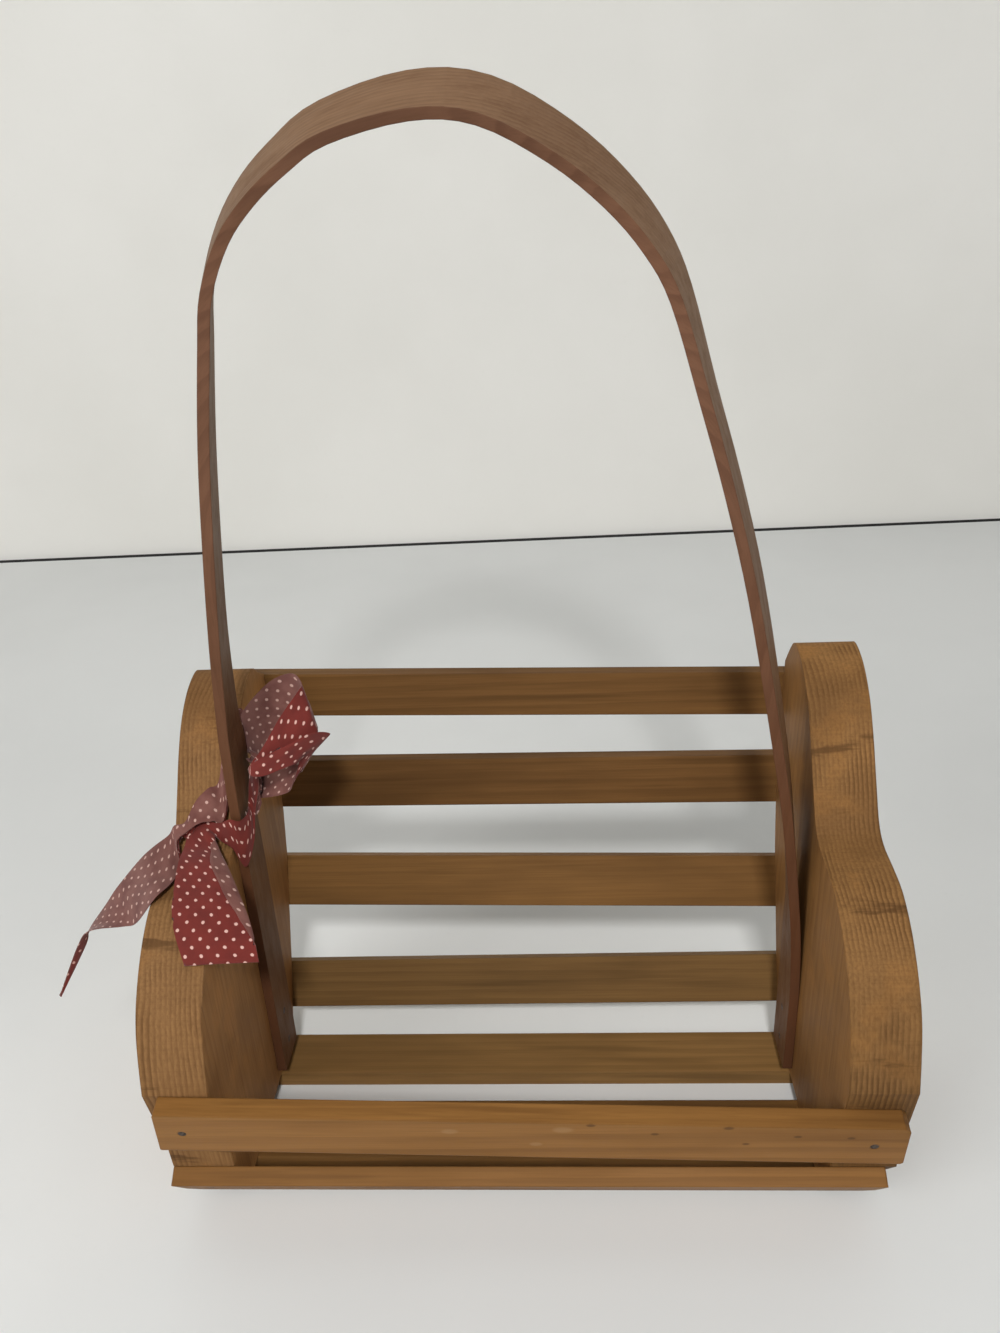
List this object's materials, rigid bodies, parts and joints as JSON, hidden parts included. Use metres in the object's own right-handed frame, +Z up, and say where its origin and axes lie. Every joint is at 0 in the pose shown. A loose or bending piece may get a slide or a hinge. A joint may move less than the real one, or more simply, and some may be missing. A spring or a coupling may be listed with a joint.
{
  "type": "trug garden basket",
  "caption": "Wooden garden trug with shaped plank ends, nailed pine slats, a bent strip hoop handle and a spotted cloth ribbon.",
  "frame": {"origin": "middle of the underside of the rear floor slat, on the surface that the basket stands on, halfway between the two end boards' outer faces", "axes": "+X to the basket's right as seen from its low front, -Y towards the low front with the rail, +Z up"},
  "size_m": [0.331, 0.1598, 0.4076],
  "materials": {
    "stained_pine": "satin stain over sawn pine",
    "bent_strip": "satin stain on a bent strip",
    "calico": "matt woven cotton with small pale spots",
    "brad_steel": "dull, darkened"
  },
  "bodies": {
    "root": {"left_board": "stained_pine", "right_board": "stained_pine", "back_slat_1": "stained_pine", "back_slat_2": "stained_pine", "back_slat_3": "stained_pine", "back_slat_4": "stained_pine", "floor_slat_1": "stained_pine", "floor_slat_2": "stained_pine", "front_rail": "stained_pine", "front_lower_slat": "stained_pine", "handle_strip": "bent_strip", "ribbon": "calico", "slat_brads": "brad_steel", "handle_brads": "brad_steel"}
  },
  "joints": []
}
